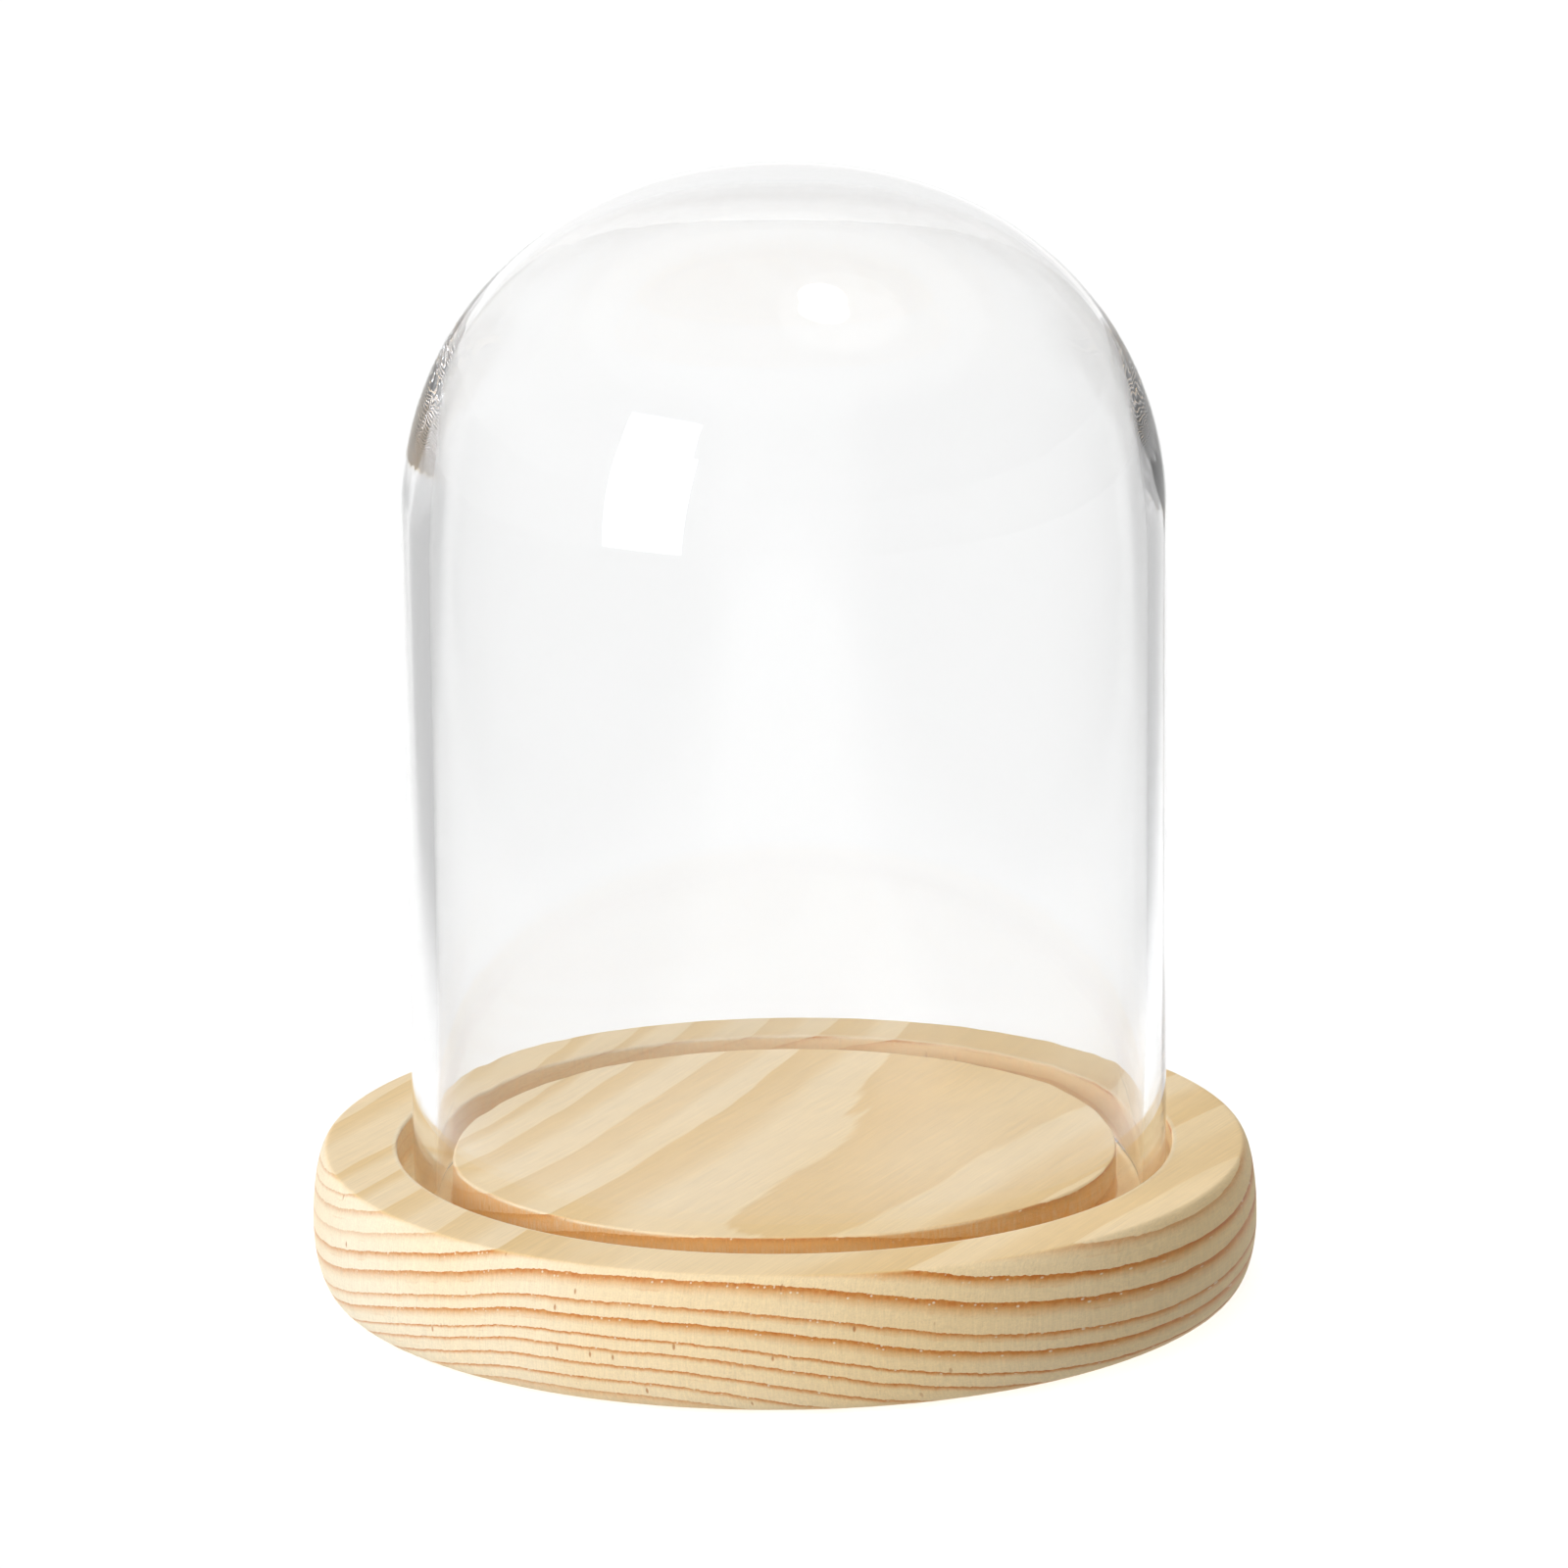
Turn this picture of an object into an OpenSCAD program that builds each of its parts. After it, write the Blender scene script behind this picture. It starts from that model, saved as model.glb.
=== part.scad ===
// Bell jar: a blown glass dome that stands loose in a turned groove in a round wooden base.
// Millimetres. The origin is the centre of the base's underside, and the jar stands along +Z.

/* [Base] */
// Widest diameter of the base
base_d = 125; // [120:1:160]
// Thickness of the base
base_h = 18; // [15:0.5:24]
// Height of the widest point of the rounded side
belly_z = 8.1; // [5:0.1:12]
// How far the side curves in from its widest point up to the top face
top_inset = 2.1; // [1:0.1:4]
// How far the side curves in from its widest point down to the underside
foot_inset = 2.8; // [1:0.1:5]

/* [Groove] */
// Depth of the groove below the top face
groove_depth = 5.5; // [3:0.1:8]
// Gap between the glass and the groove's outer wall when the dome is centred
outer_play = 1.5; // [1:0.1:3]
// Gap between the glass and the centre disc when the dome is centred
inner_play = 2.9; // [1:0.1:6]
// Radius of the sanded edges at the top of the groove
edge_r = 0.35; // [0.1:0.05:0.8]

/* [Dome] */
// Outside diameter of the straight glass wall
dome_d = 99.6; // [80:0.2:104]
// Thickness of the straight glass wall
wall_t = 3; // [1.5:0.1:4]
// Thickness of the glass where the shoulder was drawn thinnest
shoulder_t = 1.1; // [0.8:0.1:3]
// Thickness of the glass at the very top
top_t = 1.9; // [0.8:0.1:3]
// Height of the whole jar, from the table to the top of the glass
jar_h = 147.9; // [110:0.1:240]
// Height of the curved cap of the dome
cap_h = 46.1; // [35:0.1:60]
// Fullness of the cap's shoulders, where 2 is an ellipse and more is squarer
fullness = 2.13; // [2:0.01:2.6]
// Radius of the fire-polished corners of the rim
rim_r = 0.7; // [0.2:0.05:0.7]
// How far the dome stands to the right of the base's axis, within its play
dome_shift = 0.7; // [0:0.1:0.8]

/* [Hidden] */

$fn = 180;
arc_steps = 12;
cap_steps = 30;
thin_angle = 36;

dome_r = dome_d / 2;
bore_r = dome_r - wall_t;
groove_r = dome_r + outer_play;
disc_r = bore_r - inner_play;
groove_z = base_h - groove_depth;
spring_z = jar_h - cap_h;

base_color = [0.93, 0.83, 0.64];
glass_color = [0.82, 0.9, 0.92, 0.4];

// Points of an elliptical arc about [cx, cz], from angle a0 to angle a1
function arc(cx, cz, rx, rz, a0, a1) = [
    for (i = [0 : arc_steps])
        let (a = a0 + (a1 - a0) * i / arc_steps)
            [cx + rx * cos(a), cz + rz * sin(a)]
];

// A smooth step from 0 to 1
function ease(u) = (1 - cos(180 * u)) / 2;

// Glass thickness at a place on the cap, from 0 degrees at the straight wall to 90 at the top
function glass_t(a) =
    a < thin_angle
        ? wall_t + (shoulder_t - wall_t) * ease(a / thin_angle)
        : shoulder_t + (top_t - shoulder_t) * ease((a - thin_angle) / (90 - thin_angle));

// Point of the cap's outer curve, and the unit normal there
function cap_point(a) = [
    dome_r * pow(cos(a), 2 / fullness),
    spring_z + cap_h * pow(sin(a), 2 / fullness)
];
function cap_slope(a) = [
    pow(cos(a), 2 - 2 / fullness) / dome_r,
    pow(sin(a), 2 - 2 / fullness) / cap_h
];
function cap_normal(a) = cap_slope(a) / norm(cap_slope(a));

function outer_curve() = [
    for (i = [0 : cap_steps - 1]) cap_point(90 * i / cap_steps)
];
function inner_curve() = [
    for (i = [cap_steps - 1 : -1 : 0])
        let (a = 90 * i / cap_steps) cap_point(a) - glass_t(a) * cap_normal(a)
];

// Half section of the base: foot, rounded side, rim, groove and centre disc
base_section = concat(
    [[0, 0]],
    arc(base_d / 2 - foot_inset, belly_z, foot_inset, belly_z, -90, 0),
    arc(base_d / 2 - top_inset, belly_z, top_inset, base_h - belly_z, 0, 90),
    arc(groove_r + edge_r, base_h - edge_r, edge_r, edge_r, 90, 180),
    [[groove_r, groove_z], [disc_r, groove_z]],
    arc(disc_r - edge_r, base_h - edge_r, edge_r, edge_r, 0, 90),
    [[0, base_h]]
);

// Half section of the dome: rim, outer wall, cap, and back down the bore
dome_section = concat(
    arc(dome_r - rim_r, groove_z + rim_r, rim_r, rim_r, -90, 0),
    outer_curve(),
    [[0, jar_h], [0, jar_h - top_t]],
    inner_curve(),
    arc(bore_r + rim_r, groove_z + rim_r, rim_r, rim_r, 180, 270)
);

// Turned base, with the groove that holds the dome's rim
module wooden_base() {
    color(base_color)
        rotate_extrude() polygon(base_section);
}

// Closed-end glass dome, standing on the floor of the groove
module glass_dome() {
    color(glass_color)
        translate([dome_shift, 0, 0])
            rotate_extrude() polygon(dome_section);
}

wooden_base();
glass_dome();
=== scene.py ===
"""A bell jar: a clear glass dome standing in the groove of a round turned pine base."""

from math import cos, pi, radians, sin

import bmesh
import bpy
from mathutils import Matrix, Vector


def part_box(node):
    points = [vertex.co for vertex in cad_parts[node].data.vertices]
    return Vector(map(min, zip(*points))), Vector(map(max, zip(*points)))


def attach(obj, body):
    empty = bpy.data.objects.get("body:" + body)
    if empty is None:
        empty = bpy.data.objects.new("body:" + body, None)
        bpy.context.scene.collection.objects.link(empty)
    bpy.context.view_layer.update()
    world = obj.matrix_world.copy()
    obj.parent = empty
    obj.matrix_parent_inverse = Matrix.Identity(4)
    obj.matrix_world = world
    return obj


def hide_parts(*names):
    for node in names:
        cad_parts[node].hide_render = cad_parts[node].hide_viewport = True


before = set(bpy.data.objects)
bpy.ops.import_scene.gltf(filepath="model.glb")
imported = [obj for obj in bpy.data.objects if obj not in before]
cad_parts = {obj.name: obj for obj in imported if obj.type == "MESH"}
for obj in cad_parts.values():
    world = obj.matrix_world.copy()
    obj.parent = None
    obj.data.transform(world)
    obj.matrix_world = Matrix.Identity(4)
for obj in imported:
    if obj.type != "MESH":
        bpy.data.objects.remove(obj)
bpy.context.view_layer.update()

MM = 0.001

# The base, in millimetres where the frame's boxes don't give it
BELLY_Z = 8.1
TOP_INSET = 2.1
FOOT_INSET = 2.8
GROOVE_DEPTH = 5.5
OUTER_PLAY = 1.5
INNER_PLAY = 2.9
EDGE_R = 0.35

# The dome
WALL_T = 3.0
SHOULDER_T = 1.1
TOP_T = 1.9
THIN_ANGLE = 36.0
CAP_H = 46.1
FULLNESS = 2.13
RIM_R = 0.7


def millimetres(node):
    """A CAD node's lowest and highest corners, in millimetres."""
    low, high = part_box(node)
    return Vector(low) / MM, Vector(high) / MM


BASE_LOW, BASE_HIGH = millimetres("wooden_base")
DOME_LOW, DOME_HIGH = millimetres("glass_dome")
BASE_R = (BASE_HIGH.x - BASE_LOW.x) / 2
BASE_H = BASE_HIGH.z
DOME_R = (DOME_HIGH.x - DOME_LOW.x) / 2
DOME_X = (DOME_HIGH.x + DOME_LOW.x) / 2
DOME_TOP = DOME_HIGH.z
GROOVE_Z = BASE_H - GROOVE_DEPTH
GROOVE_R = DOME_R + OUTER_PLAY
BORE_R = DOME_R - WALL_T
DISC_R = BORE_R - INNER_PLAY
SPRING_Z = DOME_TOP - CAP_H


# ---------------------------------------------------------------- mesh helpers

# How finely the turned surfaces are divided
SEGMENTS = 360
SIDE_STEPS = 22
EDGE_STEPS = 6
FACE_STEPS = 12
TOP_STEPS = 6
DISC_STEPS = 10
GROOVE_STEPS = 4
CAP_STEPS = 64
WALL_STEPS = 30
RIM_STEPS = 8


def arc(cx, cz, rx, rz, start, end, steps):
    """Points of an elliptical arc, with its angles in degrees."""
    angles = [radians(start + (end - start) * i / steps) for i in range(steps + 1)]
    return [(cx + rx * cos(a), cz + rz * sin(a)) for a in angles]


def line(start, end, steps):
    """Points from start to end, both included."""
    (x0, z0), (x1, z1) = start, end
    points = [(x0 + (x1 - x0) * i / steps, z0 + (z1 - z0) * i / steps) for i in range(steps)]
    return points + [end]


def lathe(name, section, shape=None):
    """A closed solid of revolution about Z, from a half section that starts and ends on the axis.

    shape(r, z, angle, index) may change a point before it is placed.
    """
    mesh = bmesh.new()
    rings = []
    for index, (r, z) in enumerate(section):
        on_axis = index in (0, len(section) - 1)
        ring = []
        for k in range(1 if on_axis else SEGMENTS):
            angle = 2 * pi * k / SEGMENTS
            pr, pz = shape(r, z, angle, index) if shape and not on_axis else (r, z)
            place = Vector((pr * cos(angle), pr * sin(angle), pz)) * MM
            ring.append(mesh.verts.new(place))
        rings.append(ring)
    for lower, upper in zip(rings, rings[1:]):
        for k in range(SEGMENTS):
            n = (k + 1) % SEGMENTS
            corners = [lower[k % len(lower)], lower[n % len(lower)]]
            corners += [upper[n % len(upper)], upper[k % len(upper)]]
            # On the axis two corners are one point, which leaves a triangle
            mesh.faces.new(dict.fromkeys(corners))
    bmesh.ops.recalc_face_normals(mesh, faces=mesh.faces)
    data = bpy.data.meshes.new(name)
    mesh.to_mesh(data)
    mesh.free()
    data.shade_smooth()
    piece = bpy.data.objects.new(name, data)
    bpy.context.collection.objects.link(piece)
    return piece


# ---------------------------------------------------------------- shader helpers

def rgb(red, green, blue):
    """A linear colour from 0 to 255 screen values."""
    def linear(v):
        v /= 255
        return v / 12.92 if v <= 0.04045 else ((v + 0.055) / 1.055) ** 2.4
    return (linear(red), linear(green), linear(blue), 1.0)


class Field:
    """A shader value that adds and multiplies like a number."""

    def __init__(self, tree, socket):
        self.tree = tree
        self.socket = socket

    def op(self, kind, *others):
        node = self.tree.nodes.new("ShaderNodeMath")
        node.operation = kind
        for slot, value in zip(node.inputs, (self, *others)):
            feed(self.tree, slot, value)
        return Field(self.tree, node.outputs[0])

    def __add__(self, other):
        return self.op("ADD", other)

    def __sub__(self, other):
        return self.op("SUBTRACT", other)

    def __mul__(self, other):
        return self.op("MULTIPLY", other)

    def __truediv__(self, other):
        return self.op("DIVIDE", other)

    def __rsub__(self, other):
        return (self * -1) + other

    __radd__ = __add__
    __rmul__ = __mul__

    def step(self, low, high):
        """A smooth step from 0 at low to 1 at high."""
        node = self.tree.nodes.new("ShaderNodeMapRange")
        node.interpolation_type = "SMOOTHSTEP"
        feed(self.tree, node.inputs["Value"], self)
        feed(self.tree, node.inputs["From Min"], low)
        feed(self.tree, node.inputs["From Max"], high)
        return Field(self.tree, node.outputs[0])

    def curve(self, points, low, high, smooth=True):
        """The value of a curve through (x, y) points, where x and y lie from low to high."""
        node = self.tree.nodes.new("ShaderNodeFloatCurve")
        graph = node.mapping.curves[0]
        span = high - low
        places = [((x - low) / span, (y - low) / span) for x, y in points]
        while len(graph.points) < len(places):
            graph.points.new(0.5, 0.5)
        for point, place in zip(graph.points, places):
            point.location = place
            point.handle_type = "AUTO" if smooth else "VECTOR"
        node.mapping.update()
        feed(self.tree, node.inputs["Value"], (self - low) / span)
        return Field(self.tree, node.outputs[0]) * span + low


def feed(tree, slot, value):
    """Sets a socket to a number or colour, or links it to a field or another socket."""
    if isinstance(value, Field):
        tree.links.new(value.socket, slot)
    elif isinstance(value, bpy.types.NodeSocket):
        tree.links.new(value, slot)
    else:
        slot.default_value = value


def vector(tree, x, y, z):
    """A vector socket, from three numbers or fields."""
    node = tree.nodes.new("ShaderNodeCombineXYZ")
    for slot, value in zip(node.inputs, (x, y, z)):
        feed(tree, slot, value)
    return node.outputs[0]


def split(tree, socket):
    """The three parts of a vector, as fields."""
    node = tree.nodes.new("ShaderNodeSeparateXYZ")
    tree.links.new(socket, node.inputs[0])
    return [Field(tree, out) for out in node.outputs]


def scaled(tree, socket, factor):
    """A vector or colour, made longer or brighter by a number or field."""
    node = tree.nodes.new("ShaderNodeVectorMath")
    node.operation = "SCALE"
    tree.links.new(socket, node.inputs[0])
    feed(tree, node.inputs["Scale"], factor)
    return node.outputs[0]


def stretched(tree, socket, stretch):
    """A vector with each part multiplied by its own number. Under 1 makes a pattern longer."""
    node = tree.nodes.new("ShaderNodeVectorMath")
    node.operation = "MULTIPLY"
    tree.links.new(socket, node.inputs[0])
    node.inputs[1].default_value = stretch
    return node.outputs[0]


def noise(tree, place, stretch, scale, detail, roughness):
    """Smooth noise, from about -1 to 1."""
    node = tree.nodes.new("ShaderNodeTexNoise")
    tree.links.new(stretched(tree, place, stretch), node.inputs["Vector"])
    node.inputs["Scale"].default_value = scale
    node.inputs["Detail"].default_value = detail
    node.inputs["Roughness"].default_value = roughness
    return (Field(tree, node.outputs["Fac"]) - 0.5) * 2


def specks(tree, place, stretch, scale):
    """Distance to the nearest of many scattered points, and a random value for each point."""
    node = tree.nodes.new("ShaderNodeTexVoronoi")
    tree.links.new(stretched(tree, place, stretch), node.inputs["Vector"])
    node.inputs["Scale"].default_value = scale
    chance = tree.nodes.new("ShaderNodeSeparateColor")
    tree.links.new(node.outputs["Color"], chance.inputs[0])
    return Field(tree, node.outputs["Distance"]), Field(tree, chance.outputs[0])


def mix(tree, amount, low, high):
    """A colour between two others, at an amount that is held from 0 to 1."""
    node = tree.nodes.new("ShaderNodeMix")
    node.data_type = "RGBA"
    feed(tree, node.inputs["Factor"], amount)
    feed(tree, node.inputs["A"], low)
    feed(tree, node.inputs["B"], high)
    return node.outputs["Result"]


def new_material(name):
    """A material, its node tree and its shader."""
    material = bpy.data.materials.new(name)
    material.use_nodes = True
    tree = material.node_tree
    return material, tree, tree.nodes["Principled BSDF"]


def blend(low, high, amount):
    """A number or field between two others."""
    return low + (high - low) * amount


# ---------------------------------------------------------------- wood: the growth rings

# All lengths are in millimetres. The fibres run from front to back and lean to the right.
GRAIN_LEAN = radians(27)
# The rings' crest leans to the right and widens with height, from this height up and down
CREST_LEAN = 0.5
CREST_WIDEN = 0.01
MID_Z = 9.0

# How far a growth ring has dropped below its crest, across the fibres from left to right
RING_DROP = [
    (-75, 18.5), (-60, 13.2), (-45, 10.4), (-30, 6.1), (-18, 2.9), (-8, 0.7), (0, 0.2),
    (8, 0.0), (20, 0.35), (32, 1.9), (45, 4.6), (62, 7.7), (75, 9.6),
]
# How far it has risen along them, from the front to the back
RING_RISE = [
    (-75, -0.1), (-62, 0.0), (-40, 0.27), (-15, 0.47), (10, 0.85), (35, 1.4), (62, 2.4), (75, 2.9),
]
# A hollow that runs along the crest: its depth, middle and half width, and where it starts and ends
HOLLOW = 0.75
HOLLOW_MID = 15.0
HOLLOW_HALF = 22.0
HOLLOW_START = (-58, -30)
HOLLOW_END = (-18, 25)
# Where the latewood on the crest is paled, which paints a soft reflection of the light on the level
# faces: half width, and where it starts
CREST_HALF = 14
CREST_START = (-25, 0)
CREST_PAINTED_REFLECTION = 0.45

# The height of each growth ring's hard outer edge at its crest, from the pith side up
RING_EDGES = [1.8, 3.7, 5.8, 7.9, 9.6, 12.1, 14.0, 17.3, 19.8, 22.3, 25.0, 26.7, 28.3, 29.9, 31.6]
# How much of each ring is latewood, and how dark it is
LATE_SHARE = [0.9, 0.45, 0.4, 0.45, 0.4, 0.65, 0.6, 0.6, 0.6, 0.55, 0.45, 0.3, 0.3, 0.3, 0.3]
LATE_TONE = [0.5, 0.8, 0.85, 0.85, 0.95, 1.0, 0.85, 1.0, 1.1, 0.45, 0.7, 0.75, 0.8, 0.6, 0.6]
# The side's rings are paler at the left: the tone there, its gain to the right, and from where to where
TONE_LEFT = 0.45
TONE_GAIN = 0.65
TONE_RISE = (-62, 12)

# What the curves above can span: places on the base, heights at the crest, and ring numbers
PLAN_SPAN = (-80, 80)
LEVEL_SPAN = (0, 36)
COUNT_SPAN = (0, 16)

# A year runs from 0 to 1. On the side the latewood would be at its darkest just past its end.
SIDE_FULL = 1.05
# Where in the year a ring's dark edge comes on, and where the ring closes
DARK_EDGE = (0.72, 0.98)
CLOSING = (0.975, 1.0)
# On the level faces this share of the latewood starts softly and early, and the rest comes late
FACE_EARLY = 0.75
FACE_SOFT = 0.15
FACE_LATE = (0.6, 1.0)
# How much of each ring's own tone the level faces show
FACE_TONE = 0.5
# A faint false ring: its place in the year, sway, half width, tone, and where it comes and goes
FALSE_RING = 0.55
FALSE_RING_SWAY = 0.2
FALSE_RING_HALF = 0.07
FALSE_RING_TONE = 0.2
FALSE_RING_SHOWS = (0.0, 0.35)

# Patterns: stretch across, along and up the fibres, scale, detail and roughness
SLOW = ((1, 0.3, 1), 0.05, 2.0, 0.5)
QUICK = ((1, 0.1, 1), 0.35, 3.0, 0.5)
SPIKES = ((1, 0.05, 0.25), 2.2, 2.0, 0.5)
# How far each of them moves a ring
SLOW_WANDER = 0.4
QUICK_WANDER = 0.2
SPIKES_WANDER = 0.16


def grain_axes(x, y):
    """The parts of a level direction that lie across and along the fibres."""
    across = x * cos(GRAIN_LEAN) - y * sin(GRAIN_LEAN)
    along = x * sin(GRAIN_LEAN) + y * cos(GRAIN_LEAN)
    return across, along


class Growth:
    """The wood's growth rings, as fields: the latewood that shows, and the rings' dark edges."""

    def __init__(self, tree, across, along, z, flat):
        self.tree = tree
        self.across, self.along, self.z = across, along, z
        self.flat = flat
        self.place = vector(tree, across, along, z)
        self.slow = noise(tree, self.place, *SLOW)
        self.quick = noise(tree, self.place, *QUICK)
        up = z - MID_Z
        self.from_crest = (across - up * CREST_LEAN) * (1 - up * CREST_WIDEN)
        self.beside = (self.from_crest - HOLLOW_MID).op("ABSOLUTE")
        self.late, self.edge = self.latewood()

    def level(self):
        """The height that each point's growth ring has at its crest."""
        drop = self.from_crest.curve(RING_DROP, *PLAN_SPAN)
        rise = self.along.curve(RING_RISE, *PLAN_SPAN)
        spikes = noise(self.tree, self.place, *SPIKES)
        level = self.z + drop - rise + self.slow * SLOW_WANDER + self.quick * QUICK_WANDER
        level = level + spikes * (1 - self.flat) * SPIKES_WANDER
        ends = self.along.step(*HOLLOW_START) * (1 - self.along.step(*HOLLOW_END))
        return level - (1 - self.beside.step(0, HOLLOW_HALF)) * ends * HOLLOW

    def latewood(self):
        """How much latewood shows at each point, and how much of a ring's dark edge."""
        count = range(len(RING_EDGES))
        number = self.level().curve(list(zip(RING_EDGES, count)), *LEVEL_SPAN, smooth=False)
        ring = number.op("CEIL")
        year = number - number.op("FLOOR")
        share = ring.curve(list(zip(count, LATE_SHARE)), *COUNT_SPAN, smooth=False)
        tone = ring.curve(list(zip(count, LATE_TONE)), *COUNT_SPAN, smooth=False)
        side_tone = tone * self.across.step(*TONE_RISE) * TONE_GAIN + tone * TONE_LEFT
        side = year.step(1 - share, SIDE_FULL) * side_tone + self.false_ring(year)
        edge = year.step(*DARK_EDGE) * side_tone * (1 - self.flat)
        closing = 1 - year.step(*CLOSING)
        return blend(side, self.face(year, share, tone), self.flat) * closing, edge * closing

    def face(self, year, share, tone):
        """The latewood on the level faces, where the rings are cut at a slant and show wide."""
        start = 1 - share
        face = year.step(start - FACE_SOFT, start + FACE_SOFT) * FACE_EARLY
        face = face + year.step(*FACE_LATE) * (1 - FACE_EARLY)
        # Painted reflection: the crest's latewood is paled where a soft reflection of the light lies on
        # the level faces
        crest = (1 - self.beside.step(0, CREST_HALF)) * self.along.step(*CREST_START)
        return face * blend(1, tone, FACE_TONE) * (1 - crest * CREST_PAINTED_REFLECTION)

    def false_ring(self, year):
        """A faint dark line in the middle of some years, which comes and goes."""
        off = (year - FALSE_RING - self.slow * FALSE_RING_SWAY).op("ABSOLUTE")
        shows = self.quick.step(*FALSE_RING_SHOWS)
        return (1 - off.step(0.0, FALSE_RING_HALF)) * shows * FALSE_RING_TONE


# ---------------------------------------------------------------- wood: colour and surface

# Colours of the level faces and of the turned side
EARLY_FACE = rgb(246, 223, 184)
EARLY_SIDE = rgb(241, 227, 199)
WARM = rgb(243, 211, 153)
LATE_FACE = rgb(234, 199, 139)
LATE_SIDE = rgb(214, 150, 76)
LATE_EDGE = rgb(192, 112, 44)
RESIN = rgb(176, 112, 58)
# Scorch from the cutter with painted shade, darkest on the disc's wall in the groove
SCORCH_AND_SHADE = rgb(220, 160, 84)
# Painted light: a pale colour that brightens the groove's outer wall and floor, where the glass holds
# back light
GROOVE_PAINTED_LIGHT = rgb(252, 227, 178)

# Patterns: stretch across, along and up the fibres, scale, detail and roughness
STREAK = ((1, 0.025, 1), 1.6, 4.0, 0.65)
HAIR = ((1, 0.02, 1), 4.0, 3.0, 0.7)
RAYS = ((1, 0.3, 0.08), 4.5, 3.0, 0.7)
TURNED = ((0.04, 0.04, 1), 6.0, 2.0, 0.6)
PATCHES = ((1, 0.35, 1), 0.035, 2.0, 0.5)

# How much warmer the earlywood is in patches, and to the right on the side and on the level faces
PATCH_BAND = (-0.4, 0.4)
PATCH_WARMTH = 0.3
WARM_BAND = (-50, 50)
SIDE_WARMTH = 0.5
FACE_WARMTH = 0.2
# How strong the rings' dark edges are, and how much the streaks break them up
EDGE_COVER = 0.62
EDGE_STREAKS = 1.3

# How much a surface has to turn to count as level, and to cut across the fibres
FLAT_BAND = (0.2, 0.9)
END_BAND = (0.25, 0.6)

# Specks: stretch and scale, then how large they are and how many of the points have one
FLECKS = ((1, 0.2, 1), 1.6)
FLECK_SIZE = (0.14, 0.30)
FLECK_CHANCE = (0.50, 0.58)
FLECK_LATE = (0.4, 0.75)
CANALS = ((0.5, 0.008, 0.22), 1.0)
CANAL_SIZE = (0.05, 0.12)
CANAL_CHANCE = (0.3, 0.37)
SPECK_COVER = 0.75

# How strongly each pattern lightens and darkens the wood, and how much painted light pales the disc
# under the glass
STREAK_SHADE = 0.07
HAIR_SHADE = 0.16
TURNED_SHADE = 0.04
RAYS_SHADE = 0.16
DISC_PAINTED_LIGHT = 0.05

# The groove's colours, which are painted light and scorch with painted shade, how softly they start at
# its walls, and how far below its top they fade out
GROOVE_COVER = 0.7
GROOVE_SOFT = 0.06
GROOVE_FADE = (0.6, 0.1)
# How far from the disc its wall's scorch and painted shade reach
DISC_BAND = (0.1, 0.5)
# The band of fur and painted highlight at the groove's lip, and how it varies from hair to hair
FUR_AND_HIGHLIGHT_BAND = (0.1, 0.45)
FUR_AND_HIGHLIGHT_COVER = 0.35
FUR_AND_HIGHLIGHT_HAIR = 0.6

# Bare wood is rough, the latewood a little less so
ROUGHNESS = 0.62
LATE_GLOSS = 0.14
HAIR_ROUGHNESS = 0.1
# The relief, with each pattern's height as a share of the hair's
BUMP_STRENGTH = 0.35
BUMP_HEIGHT = 0.06
RAYS_RELIEF = 0.7
TURNED_RELIEF = 0.8
LATE_RELIEF = 0.6
RESIN_DEPTH = 2
WOOD_IOR = 1.45
WOOD_SPECULAR = 0.3


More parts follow.
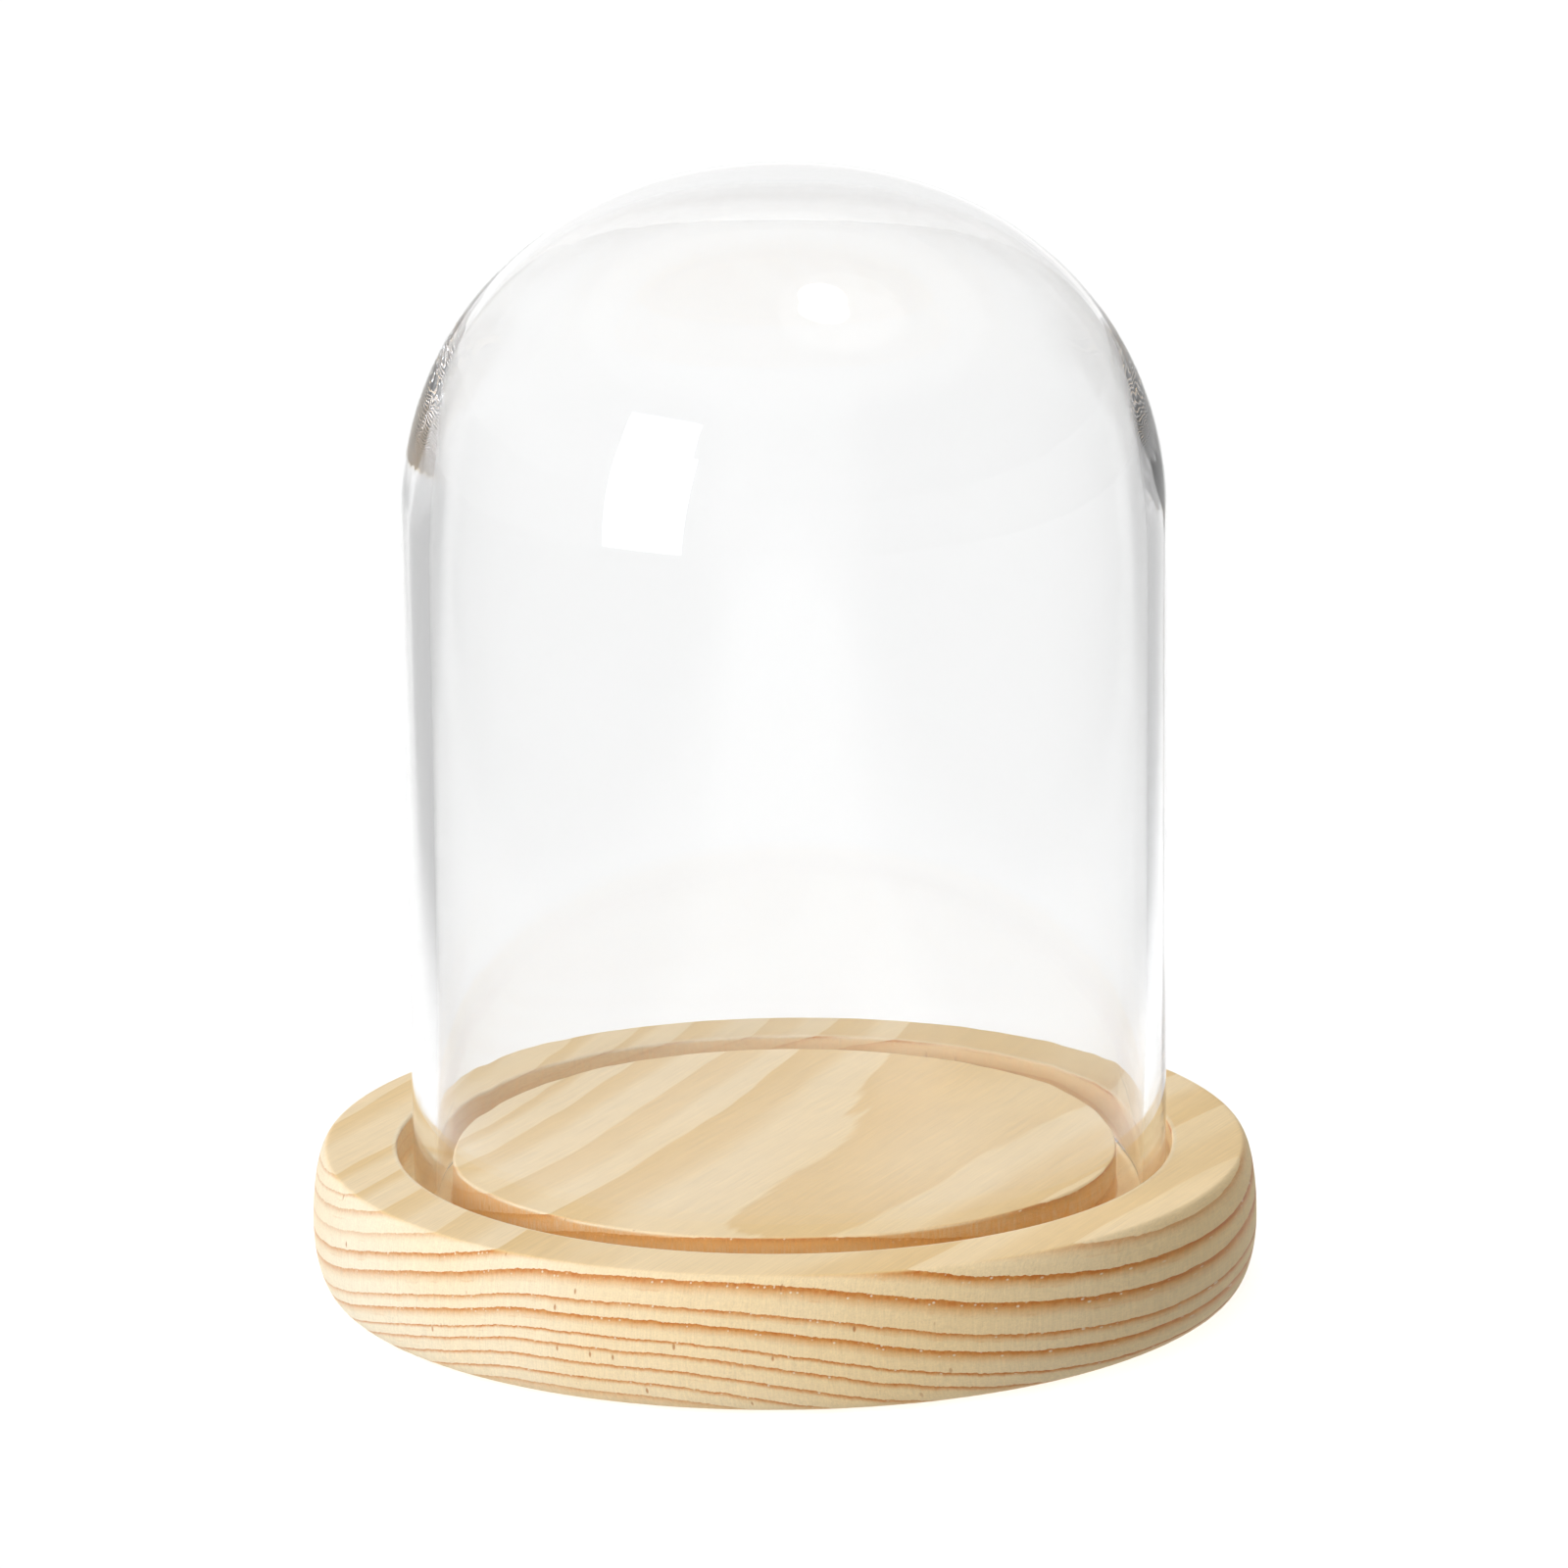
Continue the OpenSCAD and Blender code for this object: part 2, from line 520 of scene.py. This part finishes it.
class Pine:
    """Flat-sawn pine. Its rings are one solid pattern that every cut of the lathe goes through."""

    def __init__(self, tree):
        self.tree = tree
        coordinates = tree.nodes.new("ShaderNodeTexCoord")
        in_mm = scaled(tree, coordinates.outputs["Object"], 1 / MM)
        x, y, self.z = split(tree, in_mm)
        self.radius = (x * x + y * y).op("SQRT")
        self.across, along = grain_axes(x, y)
        self.place = vector(tree, self.across, along, self.z)

        # How far the surface faces up or down, and how squarely it cuts the fibres
        nx, ny, nz = split(tree, coordinates.outputs["Normal"])
        self.flat = (nz * nz).step(*FLAT_BAND)
        self.side = 1 - self.flat
        cut = grain_axes(nx, ny)[1]
        self.end_grain = (cut * cut).step(*END_BAND)

        growth = Growth(tree, self.across, along, self.z, self.flat)
        self.late, self.edge = growth.late, growth.edge

        # Streaks along the fibres, rays that stand across the rings, and marks that turning left
        self.streak = noise(tree, self.place, *STREAK)
        self.hair = noise(tree, self.place, *HAIR)
        self.rays = noise(tree, self.place, *RAYS)
        self.turned = noise(tree, in_mm, *TURNED)
        self.resin = self.canals()

    def canals(self):
        """The brown ends of resin canals, where the side cuts across the fibres."""
        gap, chance = specks(self.tree, self.place, *CANALS)
        return (1 - gap.step(*CANAL_SIZE)) * chance.step(*CANAL_CHANCE) * self.end_grain

    def ring_colour(self):
        """Pale earlywood, warmer in patches and to the right, and dark latewood."""
        patches = noise(self.tree, self.place, *PATCHES).step(*PATCH_BAND) * PATCH_WARMTH
        warmth = self.across.step(*WARM_BAND) * blend(SIDE_WARMTH, FACE_WARMTH, self.flat)
        pale = mix(self.tree, self.flat, EARLY_SIDE, EARLY_FACE)
        early = mix(self.tree, patches + warmth, pale, WARM)
        summer = mix(self.tree, self.flat, LATE_SIDE, LATE_FACE)
        colour = mix(self.tree, self.late.op("MINIMUM", 1.0), early, summer)
        edge = self.edge * (self.streak * EDGE_STREAKS + EDGE_COVER)
        return mix(self.tree, edge, colour, LATE_EDGE)

    def with_specks(self, colour):
        """Adds pale cut fibres on the dark rings of the side, and the resin canals."""
        gap, chance = specks(self.tree, self.place, *FLECKS)
        fleck = (1 - gap.step(*FLECK_SIZE)) * chance.step(*FLECK_CHANCE)
        fleck = fleck * self.late.step(*FLECK_LATE) * self.side
        colour = mix(self.tree, fleck * SPECK_COVER, colour, EARLY_SIDE)
        return mix(self.tree, self.resin * SPECK_COVER, colour, RESIN)

    def with_groove(self, colour):
        """Paints light into the groove's outer wall and floor, darkens the disc's wall with scorch and
        painted shade, and pales the lip with fur and a painted highlight.
        """
        inside = self.radius.step(DISC_R - GROOVE_SOFT, DISC_R)
        inside = inside * (1 - self.radius.step(GROOVE_R, GROOVE_R + GROOVE_SOFT))
        fade_low, fade_high = [BASE_H - depth for depth in GROOVE_FADE]
        deep = inside * (1 - self.z.step(fade_low, fade_high))
        near, far = [DISC_R + gap for gap in DISC_BAND]
        on_disc = 1 - self.radius.step(near, far)
        # Scorch with painted shade in the groove, most on the disc's wall and along the rays
        scorched_and_shaded = deep * (on_disc + self.rays) * GROOVE_COVER
        # Painted light on the groove's outer wall and floor
        colour = mix(self.tree, deep * (1 - on_disc) * GROOVE_COVER, colour, GROOVE_PAINTED_LIGHT)
        colour = mix(self.tree, scorched_and_shaded, colour, SCORCH_AND_SHADE)
        # Fur with a painted highlight: a pale band along the groove's rounded lip
        lip = 1 - (self.radius - GROOVE_R - EDGE_R).op("ABSOLUTE").step(*FUR_AND_HIGHLIGHT_BAND)
        return mix(self.tree, lip * (self.hair * FUR_AND_HIGHLIGHT_HAIR + FUR_AND_HIGHLIGHT_COVER), colour, EARLY_SIDE)

    def shade(self):
        """How much lighter or darker each place is than its colour, with painted light on the disc
        under the glass.
        """
        # Painted light: the disc under the glass is made paler, to make up for light that the glass
        # holds back
        painted_disc_light = 1 - self.radius.step(DISC_R, GROOVE_R)
        shade = 1.0 + self.streak * STREAK_SHADE + self.hair * HAIR_SHADE
        shade = shade + self.turned * TURNED_SHADE + painted_disc_light * DISC_PAINTED_LIGHT
        return shade + self.rays * self.side * RAYS_SHADE

    def height(self):
        """The surface's fine relief."""
        ridges = self.hair + self.rays * self.side * RAYS_RELIEF + self.turned * TURNED_RELIEF
        return ridges + self.late * LATE_RELIEF - self.resin * RESIN_DEPTH


def pine():
    """The material of the whole base."""
    material, tree, shader = new_material("pine")
    wood = Pine(tree)
    colour = wood.with_groove(wood.with_specks(wood.ring_colour()))
    tree.links.new(scaled(tree, colour, wood.shade()), shader.inputs["Base Color"])
    roughness = ROUGHNESS - wood.late * LATE_GLOSS + wood.hair * HAIR_ROUGHNESS
    feed(tree, shader.inputs["Roughness"], roughness)
    shader.inputs["IOR"].default_value = WOOD_IOR
    shader.inputs["Specular IOR Level"].default_value = WOOD_SPECULAR
    bump = tree.nodes.new("ShaderNodeBump")
    bump.inputs["Strength"].default_value = BUMP_STRENGTH
    bump.inputs["Distance"].default_value = BUMP_HEIGHT * MM
    feed(tree, bump.inputs["Height"], wood.height())
    tree.links.new(bump.outputs[0], shader.inputs["Normal"])
    return material


# ---------------------------------------------------------------- wood: shape

# Extra rows of points keep the flats flat beside each rounded edge, this far from it
FOOT_ROW = 0.6
TOP_ROW = 0.4
LIP_ROW = 0.2
WALL_ROW = 0.3
FLOOR_ROW = 0.4
# The cut across the corners of the groove's floor
CORNER = 0.1
# The innermost row of the level faces, as a share of their radius
CENTRE = 0.1


def base_section():
    """The base's half section: underside, rounded side, rim, groove and centre disc."""
    foot_r = BASE_R - FOOT_INSET
    top_r = BASE_R - TOP_INSET
    lip_r = GROOVE_R + EDGE_R
    disc_top_r = DISC_R - EDGE_R
    edge_z = BASE_H - EDGE_R
    low_z = GROOVE_Z + CORNER
    section = [(0, 0)]
    section += line((foot_r * CENTRE, 0), (foot_r - FOOT_ROW, 0), FACE_STEPS)
    section += arc(foot_r, BELLY_Z, FOOT_INSET, BELLY_Z, -90, 0, SIDE_STEPS)
    section += arc(top_r, BELLY_Z, TOP_INSET, BASE_H - BELLY_Z, 0, 90, SIDE_STEPS)[1:]
    section += line((top_r - TOP_ROW, BASE_H), (lip_r + LIP_ROW, BASE_H), TOP_STEPS)
    section += arc(lip_r, edge_z, EDGE_R, EDGE_R, 90, 180, EDGE_STEPS)
    wall = line((GROOVE_R, edge_z - WALL_ROW), (GROOVE_R, GROOVE_Z + WALL_ROW), GROOVE_STEPS)
    section += wall[:-1] + [(GROOVE_R, low_z), (GROOVE_R - CORNER, GROOVE_Z)]
    section += [(GROOVE_R - FLOOR_ROW, GROOVE_Z), (DISC_R + FLOOR_ROW, GROOVE_Z)]
    section += [(DISC_R + CORNER, GROOVE_Z)]
    section += line((DISC_R, low_z), (DISC_R, edge_z - WALL_ROW), GROOVE_STEPS)
    section += arc(disc_top_r, edge_z, EDGE_R, EDGE_R, 0, 90, EDGE_STEPS)
    section += line((disc_top_r - LIP_ROW, BASE_H), (DISC_R * CENTRE, BASE_H), DISC_STEPS)
    return section + [(0, BASE_H)]


def wooden_base():
    """The turned base, one piece of wood."""
    piece = lathe("turned_base", base_section())
    piece.data.materials.append(pine())
    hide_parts("wooden_base")
    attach(piece, "base")
    return piece


# ---------------------------------------------------------------- glass

# Waves that drawing left down the bore: waves per turn, height in millimetres, and phase.
# The first sets the bore off to one side, and the others are fine.
STRIAE = [(1, 0.25, 1.57), (23, 0.006, 0.4), (41, 0.003, 1.9), (67, 0.0015, 4.0)]
# The heights over which the waves fade out, up from the groove's floor and down from the top
FADE_LOW = 25
FADE_HIGH = 20

GLASS_TINT = (0.978, 0.980, 0.980, 1.0)
GLASS_IOR = 1.47


def ease(u):
    """A smooth step from 0 to 1."""
    return (1 - cos(pi * u)) / 2


def glass_t(a):
    """Thickness of the cap, from 0 degrees at the straight wall to 90 at the top."""
    if a < THIN_ANGLE:
        return WALL_T + (SHOULDER_T - WALL_T) * ease(a / THIN_ANGLE)
    return SHOULDER_T + (TOP_T - SHOULDER_T) * ease((a - THIN_ANGLE) / (90 - THIN_ANGLE))


def cap_point(a):
    """Point of the cap's outer curve, as a radius and a height."""
    c, s = cos(radians(a)), sin(radians(a))
    return Vector((DOME_R * c ** (2 / FULLNESS), SPRING_Z + CAP_H * s ** (2 / FULLNESS)))


def cap_normal(a):
    """The curve's outward direction there."""
    c, s = cos(radians(a)), sin(radians(a))
    return Vector((c ** (2 - 2 / FULLNESS) / DOME_R, s ** (2 - 2 / FULLNESS) / CAP_H)).normalized()


def dome_section():
    """The dome's half section in two parts: the outside down to the rim's foot, and the bore."""
    angles = [90 * i / CAP_STEPS for i in range(CAP_STEPS)]
    rim_z = GROOVE_Z + RIM_R
    outside = [(0, DOME_TOP)] + [tuple(cap_point(a)) for a in reversed(angles)]
    outside += line((DOME_R, SPRING_Z), (DOME_R, rim_z), WALL_STEPS)[1:-1]
    outside += arc(DOME_R - RIM_R, rim_z, RIM_R, RIM_R, 0, -90, RIM_STEPS)
    inside = arc(BORE_R + RIM_R, rim_z, RIM_R, RIM_R, 270, 180, RIM_STEPS)
    inside += line((BORE_R, rim_z), (BORE_R, SPRING_Z), WALL_STEPS)[1:-1]
    inside += [tuple(cap_point(a) - cap_normal(a) * glass_t(a)) for a in angles]
    return outside, inside + [(0, DOME_TOP - TOP_T)]


def glass():
    """Clear glass, with just enough tint to show against white."""
    material, _, shader = new_material("clear_glass")
    shader.inputs["Base Color"].default_value = GLASS_TINT
    shader.inputs["Roughness"].default_value = 0.0
    shader.inputs["IOR"].default_value = GLASS_IOR
    shader.inputs["Transmission Weight"].default_value = 1.0
    return material


def glass_dome():
    """The blown dome, one piece of glass."""
    outside, inside = dome_section()
    bore_start = len(outside) + RIM_STEPS

    def bore(r, z, angle, index):
        """Moves a point of the bore by the waves, which fade out below and above."""
        if index < bore_start:
            return r, z
        fade = min(1, (z - GROOVE_Z) / FADE_LOW, (DOME_TOP - z) / FADE_HIGH)
        waves = sum(height * sin(count * angle + phase) for count, height, phase in STRIAE)
        return r + max(fade, 0) * waves, z

    piece = lathe("blown_dome", outside + inside, bore)
    piece.data.transform(Matrix.Translation((DOME_X * MM, 0, 0)))
    piece.data.materials.append(glass())
    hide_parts("glass_dome")
    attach(piece, "dome")
    return piece


# ---------------------------------------------------------------- studio

PAPER_SIZE = 12
PAPER_Z = -0.0003
PAPER_COLOUR = (0.9, 0.9, 0.9, 1)
PAPER_ROUGHNESS = 0.9
PAPER_SPECULAR = 0.1

# The pool of light on the paper, in metres: it widens from front to back and fades at its sides
POOL_LIGHT = 0.495
POOL_HALF = 0.108
POOL_WIDEN = 0.09
POOL_FADE = 0.05
PROJECTOR = (0.0, 1.0, 4.0)
PROJECTOR_R = 0.01
# The pool is brighter beside the base, which hides part of the room from the paper
BESIDE_BASE = (0.062, 0.10)
BESIDE_LIGHT = 0.5

# The lights on the jar: place, size, and radiance. The window is on the left in front.
WINDOW = ((-0.83, -0.92, 0.43), (0.58, 0.70), 6.3)
WINDOW_COLOUR = (0.96, 1.0, 1.10)
TOP = ((0.18, 0.04, 1.30), (0.28, 0.22), 2.8)
TOP_HALO = ((0.27, -0.04, 1.30), (0.70, 0.60), 0.30)
CEILING = ((0, 0, 1.30), (2.40, 2.40), 0.12)
JAR_MIDDLE = (0, 0, 0.07)

# The room: its brightness above and below the horizon, and how much more it has on the left
ROOM_ABOVE = 0.64
ROOM_BELOW = 0.52
ROOM_LEFT = 0.30
HORIZON = (-0.08, -0.04)
# A brighter sweep of paper at the back, which fades upwards in two stages
SWEEP = 0.5
SWEEP_BACK = (0.6, 1.0)
SWEEP_FADES = (((0.0, 0.12), 0.4), ((0.3, 0.6), 0.5))


def floor():
    """A sheet of white paper, just under the base."""
    bpy.ops.mesh.primitive_plane_add(size=PAPER_SIZE, location=(0, 0, PAPER_Z))
    plane = bpy.context.object
    plane.name = "floor"
    material, _, shader = new_material("white_paper")
    shader.inputs["Base Color"].default_value = PAPER_COLOUR
    shader.inputs["Roughness"].default_value = PAPER_ROUGHNESS
    shader.inputs["Specular IOR Level"].default_value = PAPER_SPECULAR
    plane.data.materials.append(material)
    # The pool of light must not shine back up at the wood, so diffuse rays miss the paper
    plane.visible_diffuse = False
    return plane


def add_lamp(name, data, place, only):
    """Places a light that shines only on the pieces in a collection."""
    lamp = bpy.data.objects.new(name, data)
    lamp.location = place
    lamp.light_linking.receiver_collection = only
    bpy.context.collection.objects.link(lamp)
    return lamp


def area_light(name, place, size, radiance, only, shape):
    """A softbox that faces the jar. Its size is in metres."""
    data = bpy.data.lights.new(name, "AREA")
    data.shape = shape
    data.size, data.size_y = size
    data.energy = radiance * pi * size[0] * size[1]
    lamp = add_lamp(name, data, place, only)
    aim = Vector(JAR_MIDDLE) - Vector(place)
    lamp.rotation_euler = aim.to_track_quat("-Z", "Y").to_euler()
    return lamp


def projector(only):
    """A small lamp overhead, whose shaped beam lays an even pool of light on the paper."""
    height = PROJECTOR[2]
    data = bpy.data.lights.new("projector", "POINT")
    data.shadow_soft_size = PROJECTOR_R
    data.energy = POOL_LIGHT * (2 * pi * height) ** 2
    data.use_nodes = True
    tree = data.node_tree
    beam = tree.nodes.new("ShaderNodeTexCoord")
    # Where each ray of the beam meets the paper
    nx, ny, nz = split(tree, beam.outputs["Normal"])
    x = nx / nz * -height
    y = ny / nz * -height + PROJECTOR[1]
    half = y.op("MAXIMUM", 0.0) * POOL_WIDEN + POOL_HALF
    pool = 1 - x.op("ABSOLUTE").step(half, half + POOL_FADE)
    from_base = (x * x + y * y).op("SQRT")
    pool = pool + (1 - from_base.step(*BESIDE_BASE)) * BESIDE_LIGHT
    # The beam is stronger at a slant, where the same light spreads over more paper
    strength = pool / nz.op("ABSOLUTE").op("POWER", 3.0)
    feed(tree, tree.nodes["Emission"].inputs["Strength"], strength)
    lamp = add_lamp("projector", data, PROJECTOR, only)
    # The jar throws no shadow in the pool
    lamp.light_linking.blocker_collection = only


def group(name, pieces):
    """A collection that a light can be limited to."""
    members = bpy.data.collections.new(name)
    for piece in pieces:
        members.objects.link(piece)
    return members


def room():
    """A plain white room, as the light that comes from every direction."""
    world = bpy.data.worlds.new("studio")
    bpy.context.scene.world = world
    world.use_nodes = True
    tree = world.node_tree
    back = tree.nodes["Background"]
    where = tree.nodes.new("ShaderNodeTexCoord")
    dx, dy, dz = split(tree, where.outputs["Generated"])
    fading = 1
    for heights, share in SWEEP_FADES:
        fading = fading - dz.step(*heights) * share
    sweep = dy.step(*SWEEP_BACK) * fading * SWEEP
    left = dx * ROOM_LEFT
    above_horizon = dz.step(*HORIZON)
    strength = blend(ROOM_BELOW - left, ROOM_ABOVE - left + sweep, above_horizon)
    feed(tree, back.inputs["Strength"], strength)
    back.inputs["Color"].default_value = (1, 1, 1, 1)


def studio(paper, jar):
    """The room, the lights on the jar, and the pool of light on the paper."""
    room()
    only_jar = group("jar", jar)
    window = area_light("key", *WINDOW, only_jar, "RECTANGLE")
    window.data.color = WINDOW_COLOUR
    for name, light in (("top", TOP), ("halo", TOP_HALO), ("ceiling", CEILING)):
        area_light(name, *light, only_jar, "ELLIPSE")
    projector(group("paper", [paper]))


# The camera: a distance, an elevation and a small roll about a point near the jar's middle
EYE_DISTANCE = 1.1122
EYE_ELEVATION = 0.2474
EYE_ROLL = -0.0095
EYE_TARGET = Vector((0.0004, 0, 0.0663))
EYE_LENS = 194.85
EYE_SENSOR = 36
EYE_CLIP = (0.05, 50)


def camera():
    """The camera, at the photograph's viewing angle."""
    back = Vector((0, -cos(EYE_ELEVATION), sin(EYE_ELEVATION)))
    right = Vector((1, 0, 0))
    up = back.cross(right)
    tilted_right = right * cos(EYE_ROLL) + up * sin(EYE_ROLL)
    tilted_up = up * cos(EYE_ROLL) - right * sin(EYE_ROLL)
    data = bpy.data.cameras.new("camera")
    data.lens = EYE_LENS
    data.sensor_width = EYE_SENSOR
    data.clip_start, data.clip_end = EYE_CLIP
    eye = bpy.data.objects.new("camera", data)
    turn = Matrix((tilted_right, tilted_up, back)).transposed().to_4x4()
    eye.matrix_world = Matrix.Translation(EYE_TARGET + back * EYE_DISTANCE) @ turn
    bpy.context.collection.objects.link(eye)
    bpy.context.scene.camera = eye


def light_rules():
    """Plain screen colours, and light that is followed unblurred through the glass's many bounces."""
    bpy.context.scene.view_settings.view_transform = "Standard"
    rules = bpy.context.scene.cycles
    rules.use_light_tree = False
    rules.blur_glossy = 0
    rules.sample_clamp_indirect = 0
    rules.max_bounces = 256
    rules.glossy_bounces = 256
    rules.transmission_bounces = 64


camera()
studio(floor(), [wooden_base(), glass_dome()])
light_rules()
